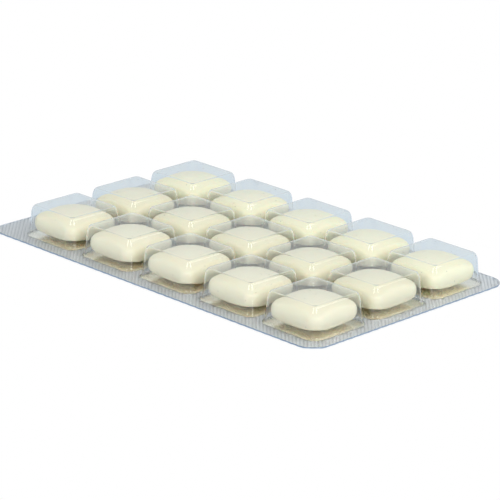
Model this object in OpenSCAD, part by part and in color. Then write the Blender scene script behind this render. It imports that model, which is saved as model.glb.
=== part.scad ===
// Blister pack of gum: a clear film with 15 square pockets, a foil lid under it and one gum per pocket.
// Frame: X along the length, Y across, Z up. The underside of the foil is Z = 0.
// Origin in the middle of the foil's outline. Millimetres.

/* [Gum] */
// Side of one gum, straight across
gum_size = 15; // [12:0.5:20]
// Thickness of one gum in the middle
gum_thick = 6.4; // [5.7:0.1:8]
// Radius of the gum's corners, seen from above
gum_corner = 3; // [2.9:0.1:4]
// Radius of the round side all along the gum's edge
gum_side = 2.75; // [1.8:0.05:2.8]
// Height pressed flat where the gum rests on the foil
gum_seat = 0.05; // [0.02:0.01:0.2]
// Share of the side gap that the two gums next to the near corner use up by turning
turn_share = 0.7; // [0:0.1:0.9]

/* [Pockets] */
// Gap between a gum's side and the pocket wall
side_gap = 0.2; // [0.15:0.05:1]
// Gap between a gum and the roof of its pocket
head_gap = 0.8; // [0.2:0.1:3]
// Slope of the pocket walls, in degrees
wall_draft = 5.6; // [2:0.2:10]
// Outer radius all round the pocket's upper edge
roof_radius = 1; // [0.8:0.1:1.8]
// How much more than that the corners of the flat roof are rounded, seen from above
roof_extra = 0.05; // [0.05:0.05:1]
// Radius of the flare where a wall meets the flange
flare_radius = 0.5; // [0.3:0.1:0.8]

/* [Sheet] */
// Thickness of the clear film
film_thick = 0.3; // [0.2:0.05:0.5]
// Thickness of the foil with its sealing coat
foil_thick = 0.1; // [0.05:0.01:0.2]
// Web between two pockets along the length, measured at the foil
web_length = 2.9; // [2.4:0.1:8]
// Web between two pockets across the width, measured at the foil
web_width = 2.6; // [2.4:0.1:8]
// Margin beyond the pockets at the wide left end
margin_left = 8.2; // [4:0.1:16]
// Margin beyond the pockets at the right end
margin_right = 3.6; // [3:0.1:16]
// Margin in front of the pockets
margin_front = 4.1; // [3:0.1:16]
// Margin behind the pockets
margin_back = 4.3; // [3:0.1:16]
// Radius of the sheet's four corners
sheet_corner = 4.5; // [2:0.5:8]

/* [Hidden] */

columns = 5;
rows = 3;
round_steps = 16;
film_colour = [0.80, 0.86, 0.92, 0.45];
foil_colour = [0.72, 0.74, 0.76];
gum_colour = [0.93, 0.92, 0.80];

// Pocket wall in section. U runs outward from the axis of a corner, Z up from the foil.
roof_corner = roof_radius + roof_extra;
pocket_height = gum_thick + head_gap + film_thick;
edge_z = pocket_height - roof_radius;
cavity_radius = roof_radius - film_thick;
wall_foot = roof_corner + roof_radius / cos(wall_draft) + edge_z * tan(wall_draft);
flare_z = film_thick + flare_radius;
flare_u = roof_corner
        + (roof_radius + flare_radius - (flare_z - edge_z) * sin(wall_draft)) / cos(wall_draft);
flange_lap = 0.3;
overlap = 0.001; // where an arc runs into a straight
mouth_u = flare_u + flange_lap / 2;

// Corner axes of a pocket: its cavity clears the gum by side_gap at the gum's widest height.
corner_at = gum_size / 2 + side_gap - roof_corner - cavity_radius / cos(wall_draft)
          + (gum_thick / 2 - edge_z) * tan(wall_draft);
pocket_foot = 2 * (corner_at + wall_foot);
pitch_length = pocket_foot + web_length;
pitch_width = pocket_foot + web_width;

sheet_length = columns * pocket_foot + (columns - 1) * web_length + margin_left + margin_right;
sheet_width = rows * pocket_foot + (rows - 1) * web_width + margin_front + margin_back;
first_x = margin_left + pocket_foot / 2 - sheet_length / 2;
first_y = margin_front + pocket_foot / 2 - sheet_width / 2;

// Gum in section: a round side that runs into a shallow dome above and below.
gum_half = gum_thick / 2 + gum_seat / 2;
corner_out = gum_size / 2 - gum_corner;
side_at = gum_size / 2 - gum_side;
dome_dip = 0.02; // how far the dome passes below the top of the round side
dome_rise = gum_half - gum_side + dome_dip;
dome_radius = (pow(side_at, 2) + pow(dome_rise, 2)) / (2 * dome_rise);
gum_turn = asin(turn_share * side_gap / corner_out);

function on_circle(radius, angle) = [radius * cos(angle), radius * sin(angle)];

// Puts what follows in the middle of one pocket, on the foil.
module at_pocket(column, row)
    translate([first_x + column * pitch_length, first_y + row * pitch_width, foil_thick]) children();

// Rounded rectangle about the origin.
module rounded_plan(length, width, corner) {
    square([length - 2 * corner, width], center = true);
    square([length, width - 2 * corner], center = true);
    for (x = [-1, 1], y = [-1, 1])
        translate([x * (length / 2 - corner), y * (width / 2 - corner)])
            circle(r = corner, $fn = 2 * round_steps);
}

// Filled section from a corner's axis out to a drafted wall, from its foot up to a rounded roof edge.
module form_section(bend, foot) {
    roof_edge = [roof_corner, edge_z];
    polygon([[0, foot.y], foot, roof_edge + on_circle(bend - overlap, wall_draft),
             roof_edge + [0, bend], [0, edge_z + bend]]);
    translate(roof_edge) circle(r = bend, $fn = round_steps);
}

// Film in section, from the flat roof down through the flare into a narrow brim.
module wall_section() {
    flare = [flare_u, flare_z];
    flare_top = flare + on_circle(flare_radius - overlap, 180 + wall_draft);
    cavity_foot = [wall_foot - film_thick / cos(wall_draft) + film_thick * tan(wall_draft), -film_thick];
    difference() {
        union() {
            form_section(roof_radius, flare_top);
            polygon([[0, film_thick], [flare_u, film_thick], flare_top, [0, flare_top.y]]);
            square([flare_u + flange_lap, film_thick]);
        }
        translate(flare) circle(r = flare_radius, $fn = round_steps);
        form_section(cavity_radius, cavity_foot);
    }
}

module corner_wall(turn)
    rotate([0, 0, turn]) translate([corner_at, corner_at, 0])
        rotate_extrude(angle = 90, $fn = round_steps) wall_section();

module side_wall(turn)
    rotate([0, 0, turn]) translate([corner_at, corner_at, 0])
        rotate([90, 0, 0]) linear_extrude(2 * corner_at) wall_section();

// One formed pocket: corners and sides in turn, then the middle of the roof.
module pocket() {
    corner_wall(0);
    corner_wall(90);
    corner_wall(180);
    corner_wall(270);
    side_wall(0);
    side_wall(90);
    side_wall(180);
    side_wall(270);
    translate([-corner_at, -corner_at, pocket_height - film_thick])
        cube([2 * corner_at, 2 * corner_at, film_thick]);
}

// Outline of the whole sheet, shared by film and foil.
module sheet_plan()
    rounded_plan(sheet_length, sheet_width, sheet_corner);

module blister_film() {
    color(film_colour) {
        translate([0, 0, foil_thick]) linear_extrude(film_thick)
            difference() {
                sheet_plan();
                for (column = [0 : columns - 1], row = [0 : rows - 1])
                    translate([first_x + column * pitch_length, first_y + row * pitch_width])
                        pocket_mouth();
            }
        for (column = [0 : columns - 1], row = [0 : rows - 1])
            at_pocket(column, row) pocket();
    }
}

// Opening in the flange where a pocket's flare begins.
module pocket_mouth() {
    square([2 * (corner_at + mouth_u), 2 * corner_at], center = true);
    square([2 * corner_at, 2 * (corner_at + mouth_u)], center = true);
    for (x = [-1, 1], y = [-1, 1])
        translate([x * corner_at, y * corner_at])
            circle(r = mouth_u, $fn = round_steps);
}

module lidding_foil()
    color(foil_colour) linear_extrude(foil_thick) sheet_plan();

// Slab in section, from a corner's axis out to the round side. Its inner part is taller than the gum.
module side_section() {
    intersection() {
        translate([gum_corner - gum_side, 0]) circle(r = gum_side, $fn = 2 * round_steps);
        translate([gum_corner - gum_side, -gum_side]) square([gum_side, 2 * gum_side]);
    }
    translate([0, -gum_thick]) square([gum_corner - gum_side, 2 * gum_thick]);
}

// Slab with full round sides and no domes yet, about its own middle.
module gum_slab() {
    for (turn = [0 : 90 : 270])
        rotate([0, 0, turn])
            translate([corner_out, corner_out, 0]) {
                rotate_extrude(angle = 90, $fn = 2 * round_steps) side_section();
                rotate([90, 0, 0]) linear_extrude(2 * corner_out) side_section();
            }
    cube([2 * corner_out, 2 * corner_out, 2 * gum_thick], center = true);
}

// Body of revolution that holds the two domes and the small flat, about its own middle.
module dome_pair()
    rotate_extrude($fn = 2 * round_steps)
        intersection() {
            translate([0, gum_half - dome_radius]) circle(r = dome_radius, $fn = 8 * round_steps);
            translate([0, dome_radius - gum_half]) circle(r = dome_radius, $fn = 8 * round_steps);
            translate([0, gum_seat - gum_half]) square([gum_size, 2 * gum_half]);
        }

// Pillow-shaped gum, resting on Z = 0.
module gum()
    translate([0, 0, gum_half - gum_seat]) intersection() {
        gum_slab();
        dome_pair();
    }

module gum_at(column, row, turn = 0)
    at_pocket(column, row) rotate([0, 0, turn]) gum();

module gum_a1() { color(gum_colour) gum_at(0, 0); }
module gum_a2() { color(gum_colour) gum_at(1, 0); }
module gum_a3() { color(gum_colour) gum_at(2, 0); }
module gum_a4() { color(gum_colour) gum_at(3, 0, gum_turn); }
module gum_a5() { color(gum_colour) gum_at(4, 0, gum_turn); }
module gum_b1() { color(gum_colour) gum_at(0, 1); }
module gum_b2() { color(gum_colour) gum_at(1, 1); }
module gum_b3() { color(gum_colour) gum_at(2, 1); }
module gum_b4() { color(gum_colour) gum_at(3, 1); }
module gum_b5() { color(gum_colour) gum_at(4, 1); }
module gum_c1() { color(gum_colour) gum_at(0, 2); }
module gum_c2() { color(gum_colour) gum_at(1, 2); }
module gum_c3() { color(gum_colour) gum_at(2, 2); }
module gum_c4() { color(gum_colour) gum_at(3, 2); }
module gum_c5() { color(gum_colour) gum_at(4, 2); }

blister_film();
lidding_foil();
gum_a1();
gum_a2();
gum_a3();
gum_a4();
gum_a5();
gum_b1();
gum_b2();
gum_b3();
gum_b4();
gum_b5();
gum_c1();
gum_c2();
gum_c3();
gum_c4();
gum_c5();
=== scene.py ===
from math import asin, atan, cos, floor, hypot, pi, radians, sin, sqrt, tan

import bmesh
import bpy
from mathutils import Matrix, Vector, noise
from mathutils.geometry import delaunay_2d_cdt


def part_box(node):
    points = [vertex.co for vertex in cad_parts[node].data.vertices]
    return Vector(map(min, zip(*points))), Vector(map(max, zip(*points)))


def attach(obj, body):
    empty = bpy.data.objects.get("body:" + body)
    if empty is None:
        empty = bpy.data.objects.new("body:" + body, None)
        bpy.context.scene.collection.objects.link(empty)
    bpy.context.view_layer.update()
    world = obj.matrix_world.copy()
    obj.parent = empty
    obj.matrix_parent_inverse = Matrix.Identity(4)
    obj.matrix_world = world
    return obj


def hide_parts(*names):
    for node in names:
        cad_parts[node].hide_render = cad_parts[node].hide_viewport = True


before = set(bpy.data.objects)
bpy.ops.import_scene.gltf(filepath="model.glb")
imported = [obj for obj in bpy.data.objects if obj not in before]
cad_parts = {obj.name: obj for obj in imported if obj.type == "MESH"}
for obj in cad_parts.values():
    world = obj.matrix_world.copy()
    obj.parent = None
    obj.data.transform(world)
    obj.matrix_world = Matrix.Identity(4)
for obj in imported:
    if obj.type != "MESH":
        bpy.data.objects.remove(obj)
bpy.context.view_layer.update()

# Lengths below are in millimetres and go to metres where a mesh, lamp or camera is made.
MM = 0.001

# Sizes that the solids share with this dressed model
FILM_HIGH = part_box("blister_film")[1] / MM
FOIL_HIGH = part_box("lidding_foil")[1] / MM
GUM_LOW, GUM_HIGH = (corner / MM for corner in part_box("gum_a1"))
GUM_NAMES = [row + column for row in "abc" for column in "12345"]
FOIL_THICK = FOIL_HIGH.z
FILM_THICK = 0.3
SHEET_CORNER = 4.5
SIDE_GAP = 0.2
WALL_DRAFT = radians(5.6)
FLARE_RADIUS = 0.5
GUM_SIZE = GUM_HIGH.x - GUM_LOW.x
GUM_THICK = GUM_HIGH.z - GUM_LOW.z
GUM_CORNER = 3.0
GUM_SIDE = 2.75
GUM_SEAT = 0.05
DOME_DIP = 0.02

# What forming does to the film: thinner pockets, and roof edges that bend more slowly towards the wall
DRAWN_THICK = 0.16
ROOF_EDGE_OUT = 1.2
ROOF_EDGE_DOWN = 2.4
ROOF_CORNER = 0.75

# Pocket wall in section: reach runs outward from the axis of a corner, height up from the foil
POCKET_HEIGHT = FILM_HIGH.z - FOIL_THICK
EDGE_HEIGHT = POCKET_HEIGHT - ROOF_EDGE_DOWN
EDGE_TO_WALL = hypot(ROOF_EDGE_OUT * cos(WALL_DRAFT), ROOF_EDGE_DOWN * sin(WALL_DRAFT))
FLARE_HEIGHT = FILM_THICK + FLARE_RADIUS
FLARE_REACH = ROOF_CORNER + (
    EDGE_TO_WALL + FLARE_RADIUS - (FLARE_HEIGHT - EDGE_HEIGHT) * sin(WALL_DRAFT)
) / cos(WALL_DRAFT)
CORNER_AT = (
    GUM_SIZE / 2 + SIDE_GAP - ROOF_CORNER - (EDGE_TO_WALL - FILM_THICK) / cos(WALL_DRAFT)
    + (GUM_THICK / 2 - EDGE_HEIGHT) * tan(WALL_DRAFT)
)
FOOT_HALF = CORNER_AT + FLARE_REACH

# Dome and round side of a gum, about its own middle, with a soft ridge where the two meet
GUM_HALF = (GUM_THICK + GUM_SEAT) / 2
DOME_RISE = GUM_HALF - GUM_SIDE + DOME_DIP
DOME_RADIUS = ((GUM_SIZE / 2 - GUM_SIDE) ** 2 + DOME_RISE ** 2) / (2 * DOME_RISE)
RIDGE_BLEND = 0.25

# How the coating strays from that shape: a little smaller all round, and slightly uneven
GUM_SHRINK = 0.006
GUM_WANDER = 0.05
WANDER_SCALE = 0.22
WANDER_SHIFT = 3.7

# Specks of dust and moulding marks, and the slow ripple of the film between them
SPECK_SPACING = 2.4
SPECK_RADIUS = 0.14
SPECK_CORE = 0.6
RIPPLE_SHARE = 0.06

# How finely the meshes are laid out
CORNER_STEPS = 12
SIDE_STEPS = 8
EDGE_STEPS = 12
WALL_STEPS = 4
FLARE_STEPS = 7
ROOF_RINGS = (0.8, 0.6, 0.4, 0.2)
GUM_SIDE_STEPS = 9
DOME_RINGS = (0.88, 0.74, 0.58, 0.42, 0.26, 0.12)

# Knurl that the sealing tool leaves in foil and film
KNURL_PITCH = 0.78
KNURL_IN_FOIL = 0.14
KNURL_IN_FILM = 0.04
KNURL_MARGIN = 0.12
SEAL_GAP = 0.004
PLAN_TOLERANCE = 1e-6

# Cut edge of the sheet, which wanders a little
OUTLINE_STEP = 0.7
OUTLINE_WAVE = 0.05
OUTLINE_SCALE = 0.4

# Finishes of the film's and the foil's faces, in the order in which the pieces list them
CLEAR, WELDED, CUT = 0, 1, 2
KNURLED, SMOOTH = 0, 1

FLOOR_HALF = 4000
FLOOR_DROP = 0.01


def place_camera():
    """Camera at the photograph's viewing angle."""
    turn = radians(44.85)
    rise = radians(19.43)
    roll = radians(1.10)
    look_at = Vector((7.44, -5.20, 4.74))
    distance = 656.0
    lens, sensor = 207.3, 36
    back = Vector((sin(turn) * cos(rise), -cos(turn) * cos(rise), sin(rise)))
    level = Vector((cos(turn), sin(turn), 0))
    upright = back.cross(level)
    right = level * cos(roll) + upright * sin(roll)
    up = upright * cos(roll) - level * sin(roll)
    data = bpy.data.cameras.new("camera")
    data.lens = lens
    data.sensor_width = sensor
    camera = bpy.data.objects.new("camera", data)
    axes = Matrix((right, up, back)).transposed()
    camera.matrix_world = Matrix.Translation((look_at + back * distance) * MM) @ axes.to_4x4()
    bpy.context.collection.objects.link(camera)
    bpy.context.scene.camera = camera


class Value:
    """An output socket, so that shader maths reads as plain expressions."""

    def __init__(self, finish, socket):
        self.finish = finish
        self.socket = socket

    def math(self, operation, first, second):
        return self.finish.node("Math", "Value", {"operation": operation}, {0: first, 1: second})

    def __add__(self, other):
        return self.math("ADD", self, other)

    def __mul__(self, other):
        return self.math("MULTIPLY", self, other)

    def __sub__(self, other):
        return self.math("SUBTRACT", self, other)

    def __rsub__(self, other):
        return self.math("SUBTRACT", other, self)

    __radd__ = __add__
    __rmul__ = __mul__


class Finish:
    """A material, or the room's light, under construction."""

    def __init__(self, name, library="materials", output="OutputMaterial"):
        self.made = getattr(bpy.data, library).new(name)
        self.made.use_nodes = True
        self.tree = self.made.node_tree
        self.tree.nodes.clear()
        self.output = output

    def node(self, kind, output, settings=None, sockets=None):
        """Adds a node, sets it up, feeds its sockets and returns the named output, or several."""
        made = self.tree.nodes.new("ShaderNode" + kind)
        for name, value in (settings or {}).items():
            setattr(made, name, value)
        for name, value in (sockets or {}).items():
            if isinstance(value, Value):
                self.tree.links.new(value.socket, made.inputs[name])
            else:
                made.inputs[name].default_value = value
        if isinstance(output, tuple):
            return [Value(self, made.outputs[name]) for name in output]
        return Value(self, made.outputs[output])

    def place(self):
        """Position on the piece, in millimetres."""
        metres = self.node("TexCoord", "Object")
        return self.node("VectorMath", "Vector", {"operation": "SCALE"}, {0: metres, "Scale": 1 / MM})

    def cloud(self, size, detail):
        """Soft noise with lumps of the given size in millimetres, from 0 to 1."""
        return self.node("TexNoise", "Fac", {}, {
            "Vector": self.place(), "Scale": 1 / size, "Detail": detail})

    def blend(self, factor, low, high):
        """Colour between two others."""
        return self.node("Mix", 2, {"data_type": "RGBA"}, {0: factor, 6: low, 7: high})

    def bump(self, height, distance, strength):
        """Normal for a height from 0 to 1 that spans a distance in millimetres."""
        return self.node("Bump", "Normal", {}, {
            "Height": height, "Distance": distance * MM, "Strength": strength})

    def surface(self, shader):
        """Closes the material with its shader."""
        output = self.tree.nodes.new("ShaderNode" + self.output)
        self.tree.links.new(shader.socket, output.inputs["Surface"])
        return self.made


def gum_finish(name, pale, warm):
    """Satin coating of a gum: faintly mottled, with a fine orange peel."""
    finish = Finish(name)
    mottle = finish.cloud(size=1.6, detail=3.0)
    grain = finish.cloud(size=0.35, detail=2.0)
    colour = finish.blend(mottle, pale, warm)
    normal = finish.bump(grain * 0.4 + mottle * 0.6, distance=0.06, strength=0.5)
    return finish.surface(finish.node("BsdfPrincipled", "BSDF", {}, {
        "Base Color": colour, "Roughness": grain * 0.12 + 0.38, "Normal": normal,
        "Specular IOR Level": 0.4, "Subsurface Weight": 0.15, "Subsurface Scale": 1.2 * MM}))


def knurled_foil_finish():
    """Rolled foil, dull enough to smear what it mirrors, with painted shade darkening the valleys of its
    knurl.
    """
    finish = Finish("knurled_foil")
    # Painted shade: the valleys of the knurl get this darker, bluer colour.
    valley_painted_shade = (0.681, 0.70, 0.725, 1)
    wrinkle = finish.cloud(size=2.4, detail=3.0)
    grain = finish.cloud(size=0.2, detail=2.0)
    height = finish.node("SeparateXYZ", "Z", {}, {"Vector": finish.place()})
    relief = (height - FOIL_THICK) * (2 / KNURL_IN_FOIL)
    face = finish.blend(wrinkle, (0.93, 0.94, 0.95, 1), (0.98, 0.99, 1.0, 1))
    # Painted shade, darkest in the knurl's valleys and fading towards its tips.
    colour = finish.blend(relief, valley_painted_shade, face)
    normal = finish.bump(wrinkle, distance=0.05, strength=0.6)
    return finish.surface(finish.node("BsdfPrincipled", "BSDF", {}, {
        "Base Color": colour, "Metallic": 1.0, "Roughness": grain * 0.10 + 0.28, "Normal": normal}))


def foil_painted_gum_reflection_finish():
    """The same foil under a pocket, where no tool has marked it, tinted warm and a little brighter as a
    painted reflection of the gum above it.
    """
    finish = Finish("smooth_foil_painted_reflection")
    wrinkle = finish.cloud(size=2.4, detail=3.0)
    grain = finish.cloud(size=0.2, detail=2.0)
    # Painted reflection: the warm, bright tint stands in for the yellow gum mirrored in the foil.
    colour = finish.blend(wrinkle, (0.97, 0.93, 0.82, 1), (1.0, 0.97, 0.90, 1))
    normal = finish.bump(wrinkle, distance=0.05, strength=0.6)
    return finish.surface(finish.node("BsdfPrincipled", "BSDF", {}, {
        "Base Color": colour, "Metallic": 1.0, "Roughness": grain * 0.10 + 0.22, "Normal": normal}))


def film_finish():
    """Clear formed film that bends and mirrors light, yet lets the lamps reach what lies inside."""
    finish = Finish("clear_film")
    ripple = finish.cloud(size=3.0, detail=2.0)
    dots = finish.node("TexVoronoi", "Distance", {}, {"Vector": finish.place(), "Scale": 1 / SPECK_SPACING})
    specks = finish.node("MapRange", "Result", {"interpolation_type": "SMOOTHSTEP"}, {
        "Value": dots * SPECK_SPACING, "From Min": SPECK_RADIUS * SPECK_CORE, "From Max": SPECK_RADIUS,
        "To Min": 1.0, "To Max": 0.0})
    relief = ripple * RIPPLE_SHARE + specks * (1 - RIPPLE_SHARE)
    normal = finish.bump(relief, distance=0.08, strength=0.6)
    shadow, diffuse = finish.node("LightPath", ("Is Shadow Ray", "Is Diffuse Ray"))
    glass = finish.node("BsdfPrincipled", "BSDF", {}, {
        "Base Color": (0.975, 0.985, 0.99, 1), "Roughness": 0.015, "IOR": 1.5,
        "Transmission Weight": 1.0, "Normal": normal})
    clear = finish.node("BsdfTransparent", "BSDF", {}, {"Color": (0.98, 0.985, 0.985, 1)})
    return finish.surface(finish.node("MixShader", "Shader", {}, {0: shadow + diffuse, 1: glass, 2: clear}))


def sealed_finish():
    """Underside of the film where it is welded to the foil: nothing is mirrored between the two."""
    finish = Finish("welded_film")
    return finish.surface(finish.node("BsdfTransparent", "BSDF", {}, {"Color": (1, 1, 1, 1)}))


def cut_edge_finish():
    """Cut edge of the film, where the faint blue of the plastic shows."""
    finish = Finish("cut_film_edge")
    streaks = finish.cloud(size=0.9, detail=3.0)
    grain = finish.cloud(size=0.3, detail=2.0)
    colour = finish.blend(streaks, (0.16, 0.23, 0.34, 1), (0.26, 0.34, 0.45, 1))
    return finish.surface(finish.node("BsdfPrincipled", "BSDF", {}, {
        "Base Color": colour, "Roughness": grain * 0.2 + 0.3, "Specular IOR Level": 0.5}))


def floor_finish():
    """Pale studio floor: white to the eye, blue-grey through the film, and clear from below."""
    finish = Finish("studio_floor")
    seen = finish.node("LightPath", "Is Camera Ray")
    white = finish.node("Emission", "Emission", {}, {"Color": (1, 1, 1, 1), "Strength": 1.0})
    pale = finish.node("BsdfPrincipled", "BSDF", {}, {
        "Base Color": (0.34, 0.38, 0.42, 1), "Roughness": 0.8, "Specular IOR Level": 0.1,
        "Emission Color": (0.75, 0.83, 0.90, 1), "Emission Strength": 0.38})
    upper = finish.node("MixShader", "Shader", {}, {0: seen, 1: pale, 2: white})
    below = finish.node("NewGeometry", "Backfacing")
    clear = finish.node("BsdfTransparent", "BSDF")
    return finish.surface(finish.node("MixShader", "Shader", {}, {0: below, 1: upper, 2: clear}))


def add_piece(name, mesh, finishes, slot, *nodes):
    """Turns a mesh in millimetres into a piece that stands for the named solids."""
    bmesh.ops.scale(mesh, vec=(MM, MM, MM), verts=mesh.verts)
    bmesh.ops.recalc_face_normals(mesh, faces=mesh.faces)
    data = bpy.data.meshes.new(name)
    mesh.to_mesh(data)
    mesh.free()
    for finish in finishes:
        data.materials.append(finish)
    piece = bpy.data.objects.new(name, data)
    bpy.context.collection.objects.link(piece)
    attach(piece, "root")
    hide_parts(*nodes)


def arc_points(middle, radius, start, stop, steps):
    """Points along an arc in a section, ends included, angles in radians."""
    turns = [start + (stop - start) * step / steps for step in range(steps + 1)]
    return [(middle[0] + radius * cos(turn), middle[1] + radius * sin(turn)) for turn in turns]


def line_points(start, stop, steps):
    """Points between two points in a section, ends left out."""
    shares = [step / steps for step in range(1, steps)]
    return [(start[0] + (stop[0] - start[0]) * share, start[1] + (stop[1] - start[1]) * share)
            for share in shares]


def wall_profile(inset):
    """Section of one face of the film, from the flat roof out to the foot of the flare."""
    out, down = ROOF_EDGE_OUT - inset, ROOF_EDGE_DOWN - inset
    last_turn = atan(tan(WALL_DRAFT) * down / out)
    circle = arc_points((0, 0), 1, pi / 2, last_turn, EDGE_STEPS)
    edge = [(ROOF_CORNER + x * out, EDGE_HEIGHT + z * down) for x, z in circle]
    flare_radius = FLARE_RADIUS + inset
    flare = arc_points((FLARE_REACH, FLARE_HEIGHT), flare_radius, pi + WALL_DRAFT, 1.5 * pi, FLARE_STEPS)
    return edge + line_points(edge[-1], flare[0], WALL_STEPS) + flare


def square_ring(half, radius):
    """Rounded square about the origin: corner axes at half, corner arcs of the given radius."""
    points = []
    for quarter in range(4):
        axis = Vector((half, half)) @ Matrix.Rotation(-quarter * pi / 2, 2)
        arc = arc_points(axis, radius, quarter * pi / 2, (quarter + 1) * pi / 2, CORNER_STEPS)
        following = Vector(arc[0]) @ Matrix.Rotation(-pi / 2, 2)
        points += arc + line_points(arc[-1], following, SIDE_STEPS)
    return points


def stitch(mesh, rings, smooth=True, finish=0):
    """Quads between neighbouring rings of vertices."""
    for inner, outer in zip(rings, rings[1:]):
        for index in range(len(inner)):
            after = (index + 1) % len(inner)
            face = mesh.faces.new((inner[index], outer[index], outer[after], inner[after]))
            face.smooth = smooth
            face.material_index = finish


def close_fan(mesh, ring, tip, smooth=True, finish=0):
    """Triangles between a ring of vertices and one in its middle."""
    for index in range(len(ring)):
        face = mesh.faces.new((ring[index], tip, ring[(index + 1) % len(ring)]))
        face.smooth = smooth
        face.material_index = finish


def cap_ring(mesh, ring, shares, smooth=True, finish=0):
    """Closes a ring with smaller copies of itself and a fan."""
    middle = sum((vertex.co for vertex in ring), Vector()) / len(ring)
    rings = [ring]
    for share in shares:
        rings.append([mesh.verts.new(middle + (vertex.co - middle) * share) for vertex in ring])
    stitch(mesh, rings, smooth, finish)
    close_fan(mesh, rings[-1], mesh.verts.new(middle), smooth, finish)


def outline_gap(x, y, half_x, half_y, corner):
    """Distance from a point to a rounded rectangle about the origin, below 0 inside it."""
    over_x = abs(x) - half_x + corner
    over_y = abs(y) - half_y + corner
    return hypot(max(over_x, 0), max(over_y, 0)) + min(max(over_x, over_y), 0) - corner


def knurl_height(x, y):
    """Small four-sided pyramids on a diagonal lattice, from 0 in the valleys to 1 at the tips."""
    along = (x + y) / sqrt(2) / KNURL_PITCH
    across = (x - y) / sqrt(2) / KNURL_PITCH
    return 1 - max(abs(2 * (along - floor(along)) - 1), abs(2 * (across - floor(across)) - 1))


def sheet_outline():
    """Outline of film and foil, with the slight wander of a cut edge."""
    half_x, half_y = FOIL_HIGH.x, FOIL_HIGH.y
    inner_x, inner_y = half_x - SHEET_CORNER, half_y - SHEET_CORNER
    corner_steps = round(SHEET_CORNER * pi / 2 / OUTLINE_STEP)
    corners = [(inner_x, inner_y), (-inner_x, inner_y), (-inner_x, -inner_y), (inner_x, -inner_y)]
    points = []
    for quarter, axis in enumerate(corners):
        arc = arc_points(axis, SHEET_CORNER, quarter * pi / 2, (quarter + 1) * pi / 2, corner_steps)
        length = 2 * (inner_x if quarter % 2 == 0 else inner_y)
        following = arc_points(corners[(quarter + 1) % 4], SHEET_CORNER, (quarter + 1) * pi / 2, 0, 1)[0]
        points += arc + line_points(arc[-1], following, round(length / OUTLINE_STEP))
    wandered = []
    for x, y in points:
        inward = OUTLINE_WAVE * (1 + noise.noise(Vector((x, y, 0)) * OUTLINE_SCALE))
        wandered.append((x * (1 - inward / half_x), y * (1 - inward / half_y)))
    return wandered


def inside_loop(x, y, loop):
    """Whether a point lies inside a closed loop."""
    inside = False
    for (ax, ay), (bx, by) in zip(loop, loop[1:] + loop[:1]):
        if (ay > y) != (by > y) and x < ax + (y - ay) * (bx - ax) / (by - ay):
            inside = not inside
    return inside


def pocket_middles():
    """Middle of each pocket, from the gums that the frame holds."""
    middles = []
    for name in GUM_NAMES:
        low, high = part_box("gum_" + name)
        middle = (low + high) / 2 / MM
        middles.append(Vector((middle.x, middle.y)))
    return middles


class Flange:
    """The sealed area round the pockets as one plan of triangles, shared by film and foil."""

    def __init__(self, middles):
        self.outline = sheet_outline()
        self.middles = middles
        self.points = list(self.outline)
        self.edges = self.loop_edges(0, len(self.outline))
        ring = square_ring(CORNER_AT, FLARE_REACH)
        self.ring_size = len(ring)
        for middle in middles:
            self.edges += self.loop_edges(len(self.points), self.ring_size)
            self.points += [(x + middle.x, y + middle.y) for x, y in ring]
        self.add_knurl()
        self.triangles = self.cut()

    def loop_edges(self, first, count):
        """Edges of a closed loop of points, by their numbers in the plan."""
        return [(first + index, first + (index + 1) % count) for index in range(count)]

    def is_free(self, x, y):
        """Whether a knurl point clears the outline and every pocket."""
        if outline_gap(x, y, FOIL_HIGH.x, FOIL_HIGH.y, SHEET_CORNER) > -2 * OUTLINE_WAVE - KNURL_MARGIN:
            return False
        return all(outline_gap(x - middle.x, y - middle.y, FOOT_HALF, FOOT_HALF, FLARE_REACH) > KNURL_MARGIN
                   for middle in self.middles)

    def add_knurl(self):
        """Lattice points, with the valleys between them as fixed edges."""
        reach = int(hypot(FOIL_HIGH.x, FOIL_HIGH.y) / KNURL_PITCH) + 1
        crossings = {}
        for along in range(-reach, reach):
            for across in range(-reach, reach):
                for shift in (0, 0.5):
                    x = (along + across + 2 * shift) * KNURL_PITCH / sqrt(2)
                    y = (along - across) * KNURL_PITCH / sqrt(2)
                    if self.is_free(x, y):
                        if shift == 0:
                            crossings[along, across] = len(self.points)
                        self.points.append((x, y))
        for (along, across), index in crossings.items():
            for neighbour in ((along + 1, across), (along, across + 1)):
                if neighbour in crossings:
                    self.edges.append((index, crossings[neighbour]))

    def cut(self):
        """Triangles of the plan, without what lies in a pocket or outside the outline."""
        points = [Vector(point) for point in self.points]
        places, _, triangles, origins, *_ = delaunay_2d_cdt(points, self.edges, [], 0, PLAN_TOLERANCE)
        assert len(places) == len(points)
        order = [origin[0] for origin in origins]
        rim = len(self.outline)
        kept = []
        for triangle in triangles:
            corners = [order[index] for index in triangle]
            if all(corner < rim for corner in corners):
                x = sum(self.points[corner][0] for corner in corners) / 3
                y = sum(self.points[corner][1] for corner in corners) / 3
                if not inside_loop(x, y, self.outline):
                    continue
            pockets = {(corner - rim) // self.ring_size for corner in corners}
            if len(pockets) == 1 and 0 <= pockets.pop() < len(self.middles):
                continue
            kept.append(corners)
        return kept

    def lay(self, mesh, base, rise, finish):
        """Adds the plan to a mesh with its knurl, and returns the outline and the pocket rings."""
        rim = len(self.outline)
        last_ring = rim + len(self.middles) * self.ring_size
        verts = []
        for index, (x, y) in enumerate(self.points):
            in_ring = rim <= index < last_ring
            height = base if in_ring else base + rise * knurl_height(x, y)
            verts.append(mesh.verts.new((x, y, height)))
        for corners in self.triangles:
            face = mesh.faces.new([verts[corner] for corner in corners])
            face.material_index = finish
        rings = [verts[start:start + self.ring_size] for start in range(rim, last_ring, self.ring_size)]
        return verts[:rim], rings


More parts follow.
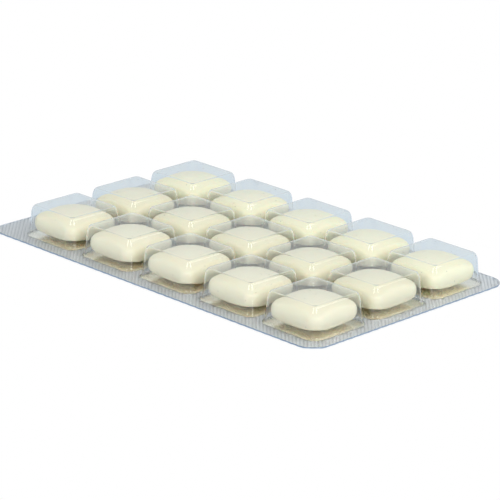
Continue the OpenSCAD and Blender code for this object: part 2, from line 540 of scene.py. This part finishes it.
def pocket_skin(mesh, middle, foot, profile):
    """One face of a pocket, from its ring in the flange up to its closed roof."""
    rings = [foot]
    for reach, height in reversed(profile[:-1]):
        rings.append([mesh.verts.new((x + middle.x, y + middle.y, height + FOIL_THICK))
                      for x, y in square_ring(CORNER_AT, reach)])
    stitch(mesh, rings)
    cap_ring(mesh, rings[-1], ROOF_RINGS)


def build_film(flange, finishes):
    """Formed film: a knurled flange with hollow pockets, closed all round."""
    mesh = bmesh.new()
    film_top = FOIL_THICK + FILM_THICK
    rim_top, feet_top = flange.lay(mesh, film_top - KNURL_IN_FILM / 2, KNURL_IN_FILM, CLEAR)
    rim_low, feet_low = flange.lay(mesh, FOIL_THICK + SEAL_GAP, KNURL_IN_FOIL, WELDED)
    stitch(mesh, [rim_low, rim_top], smooth=False, finish=CUT)
    outer = wall_profile(0)
    inner = wall_profile(DRAWN_THICK)
    for middle, foot_top, foot_low in zip(flange.middles, feet_top, feet_low):
        pocket_skin(mesh, middle, foot_top, outer)
        pocket_skin(mesh, middle, foot_low, inner)
    add_piece("formed_film", mesh, finishes, "film", "blister_film")


def build_foil(flange, finishes):
    """Lidding foil: knurled where it is sealed, smooth under each pocket."""
    mesh = bmesh.new()
    rim_top, floors_top = flange.lay(mesh, FOIL_THICK, KNURL_IN_FOIL, KNURLED)
    rim_low, floors_low = flange.lay(mesh, 0, KNURL_IN_FOIL, KNURLED)
    stitch(mesh, [rim_low, rim_top], smooth=False)
    for ring in floors_top + floors_low:
        cap_ring(mesh, ring, ROOF_RINGS, smooth=False, finish=SMOOTH)
    add_piece("sealed_foil", mesh, finishes, "foil", "lidding_foil")


def gum_skin_height(x, y):
    """Height of a gum's skin above its middle: a shallow dome that rolls over into a round side."""
    half = GUM_SIZE / 2
    dome = GUM_HALF - DOME_RADIUS + sqrt(DOME_RADIUS ** 2 - x * x - y * y)
    inset = max(-outline_gap(x, y, half, half, GUM_CORNER), 0)
    if inset < GUM_SIDE:
        side = sqrt(max(GUM_SIDE ** 2 - (GUM_SIDE - inset) ** 2, 0))
    else:
        side = inset
    overlap = max(RIDGE_BLEND - abs(dome - side), 0) / RIDGE_BLEND
    return min(dome, side) - overlap * overlap * RIDGE_BLEND / 4 * min(side / GUM_SIDE, 1)


def build_gum(name, middle, finish, turn, seed):
    """One pillow-shaped gum, lying on the foil in its pocket."""
    mesh = bmesh.new()
    half = GUM_SIZE / 2
    plans = []
    for step in range(GUM_SIDE_STEPS + 1):
        inset = GUM_SIDE * (1 - cos(step / GUM_SIDE_STEPS * pi / 2))
        plans.append(square_ring(half - GUM_CORNER, GUM_CORNER - inset))
    innermost = plans[-1]
    for share in DOME_RINGS:
        plans.append([(x * share, y * share) for x, y in innermost])
    lift = FOIL_THICK + SEAL_GAP + GUM_HALF - GUM_SEAT
    spin = Matrix.Rotation(turn, 3, "Z")
    shift = Vector((middle.x, middle.y, lift))

    def skin_vertex(x, y, side):
        height = side * gum_skin_height(x, y)
        at = Vector((x, y, max(height, GUM_SEAT - GUM_HALF)))
        wander = noise.noise(at * WANDER_SCALE + Vector((seed, 0, 0))) * GUM_WANDER
        shrink = 1 - GUM_SHRINK + wander / half
        at = Vector((x * shrink, y * shrink, at.z * (shrink if side > 0 else 1)))
        return mesh.verts.new(spin @ at + shift)

    rim = [skin_vertex(x, y, 1) for x, y in plans[0]]
    for side in (1, -1):
        rings = [rim] + [[skin_vertex(x, y, side) for x, y in plan] for plan in plans[1:]]
        stitch(mesh, rings)
        close_fan(mesh, rings[-1], skin_vertex(0, 0, side))
    add_piece("pillow_" + name, mesh, [finish], "gum", "gum_" + name)


def gum_turn(name):
    """Turn of a gum in its pocket, from how much wider its box is than the gum."""
    low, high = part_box("gum_" + name)
    corner_out = GUM_SIZE / 2 - GUM_CORNER
    reach = (high.x - low.x) / MM / 2 - GUM_CORNER
    return asin(min(reach / (corner_out * sqrt(2)), 1)) - pi / 4


def build_gums(middles):
    """All fifteen gums in one coating, copied per row with painted light and shade: the middle row darker,
    the back row lighter.
    """
    finishes = {
        # Painted shade and light: the three tints are one coating, made darker for the middle row and
        # lighter for the back row.
        "a": gum_finish("gum_front_row", (0.80, 0.745, 0.56, 1), (0.77, 0.705, 0.50, 1)),
        "b": gum_finish("gum_middle_row_painted_shade", (0.78, 0.73, 0.54, 1), (0.75, 0.69, 0.48, 1)),
        "c": gum_finish("gum_back_row_painted_light", (0.83, 0.79, 0.58, 1), (0.80, 0.75, 0.52, 1)),
    }
    for seed, (name, middle) in enumerate(zip(GUM_NAMES, middles)):
        build_gum(name, middle, finishes[name[0]], gum_turn(name), seed * WANDER_SHIFT)


def add_lamp(name, turn, rise, distance, width, height, power):
    """Soft lamp that faces the pack, placed by its direction in degrees."""
    turn = radians(turn)
    rise = radians(rise)
    data = bpy.data.lights.new(name, "AREA")
    data.shape = "RECTANGLE"
    data.size = width * MM
    data.size_y = height * MM
    data.energy = power
    lamp = bpy.data.objects.new(name, data)
    away = Vector((sin(turn) * cos(rise), -cos(turn) * cos(rise), sin(rise)))
    lamp.location = away * distance * MM
    lamp.rotation_euler = away.to_track_quat("Z", "Y").to_euler()
    bpy.context.collection.objects.link(lamp)


def light_room():
    """White room to the eye, a softer grey one to what the pack mirrors."""
    room = Finish("room", "worlds", "OutputWorld")
    seen = room.node("LightPath", "Is Camera Ray")
    white = room.node("Background", "Background", {}, {"Color": (1, 1, 1, 1), "Strength": 1.0})
    grey = room.node("Background", "Background", {}, {"Color": (0.93, 0.98, 1, 1), "Strength": 0.78})
    return room.surface(room.node("MixShader", "Shader", {}, {0: seen, 1: grey, 2: white}))


def light_studio():
    """Two tall softboxes on the camera's side, and a small lamp overhead on the right."""
    bpy.context.scene.view_settings.view_transform = "Standard"
    bpy.context.scene.world = light_room()
    add_lamp("lamp_overhead", turn=120, rise=50, distance=420, width=300, height=300, power=0.4)
    add_lamp("softbox_left", turn=19, rise=30, distance=1500, width=400, height=1700, power=6.2)
    add_lamp("softbox_right", turn=71, rise=30, distance=1500, width=400, height=1700, power=7.8)


def lay_floor():
    """Plain pale floor, wide enough to fill the view."""
    half = FLOOR_HALF * MM
    level = -FLOOR_DROP * MM
    mesh = bmesh.new()
    corners = [(-half, -half, level), (half, -half, level), (half, half, level), (-half, half, level)]
    mesh.faces.new([mesh.verts.new(corner) for corner in corners])
    data = bpy.data.meshes.new("floor")
    mesh.to_mesh(data)
    mesh.free()
    data.materials.append(floor_finish())
    floor_piece = bpy.data.objects.new("floor", data)
    bpy.context.collection.objects.link(floor_piece)


place_camera()
pockets = pocket_middles()
sealed_area = Flange(pockets)
build_film(sealed_area, [film_finish(), sealed_finish(), cut_edge_finish()])
build_foil(sealed_area, [knurled_foil_finish(), foil_painted_gum_reflection_finish()])
build_gums(pockets)
lay_floor()
light_studio()
